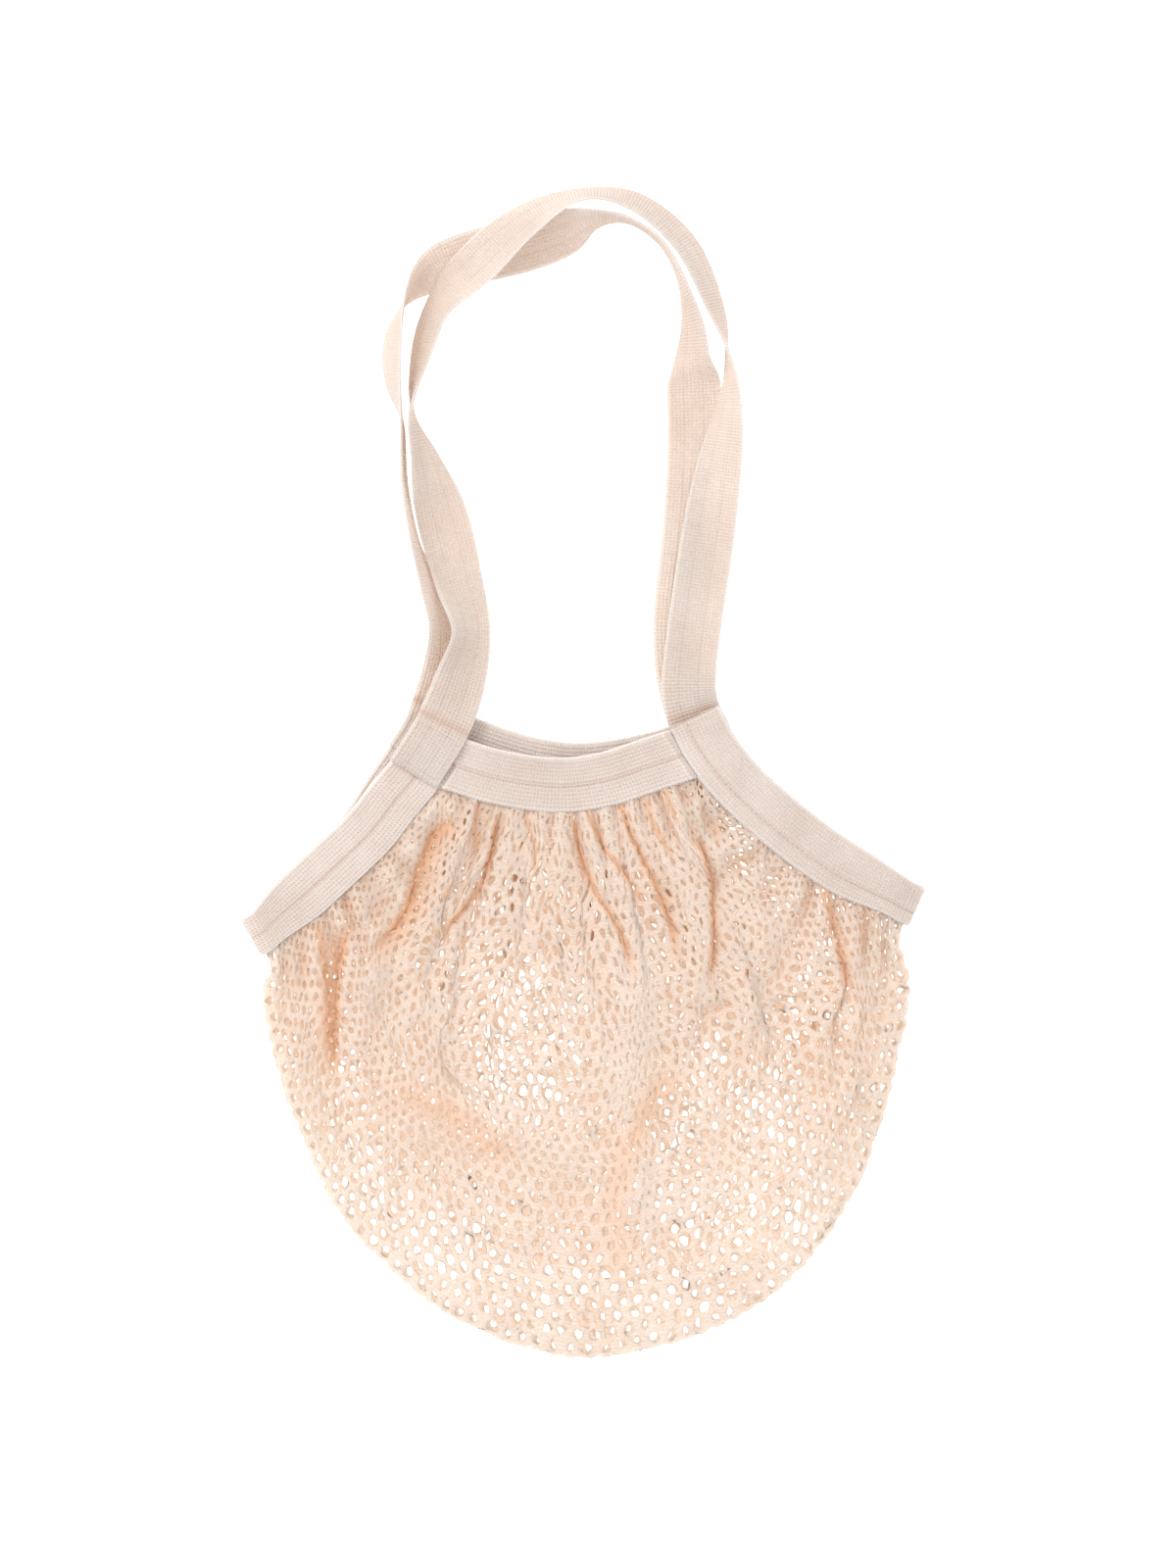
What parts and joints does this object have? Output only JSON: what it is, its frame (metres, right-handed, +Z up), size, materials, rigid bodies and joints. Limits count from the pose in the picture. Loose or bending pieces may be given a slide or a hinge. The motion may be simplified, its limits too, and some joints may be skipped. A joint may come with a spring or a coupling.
{
  "type": "mesh bag",
  "caption": "Soft cotton net shopping bag with bound edges and long tape handles, lying flat with its mouth open towards the handles.",
  "frame": {"origin": "on the table under the middle of the lying bag's box", "axes": "+Z up out of the table, +Y from the bag towards the handles, +X to the right as seen from above"},
  "size_m": [0.3511, 0.6003, 0.0365],
  "materials": {
    "net": "open knitted cotton net, matt, peach",
    "binding": "fine rib knitted cotton tape, matt, pale peach",
    "strap": "fine rib knitted cotton tape, matt, pale peach"
  },
  "bodies": {
    "root": {"net_body": "net", "front_binding": "binding", "back_binding": "binding", "side_binding_left": "binding", "side_binding_right": "binding", "strap_front": "strap", "strap_back": "strap"}
  },
  "joints": []
}
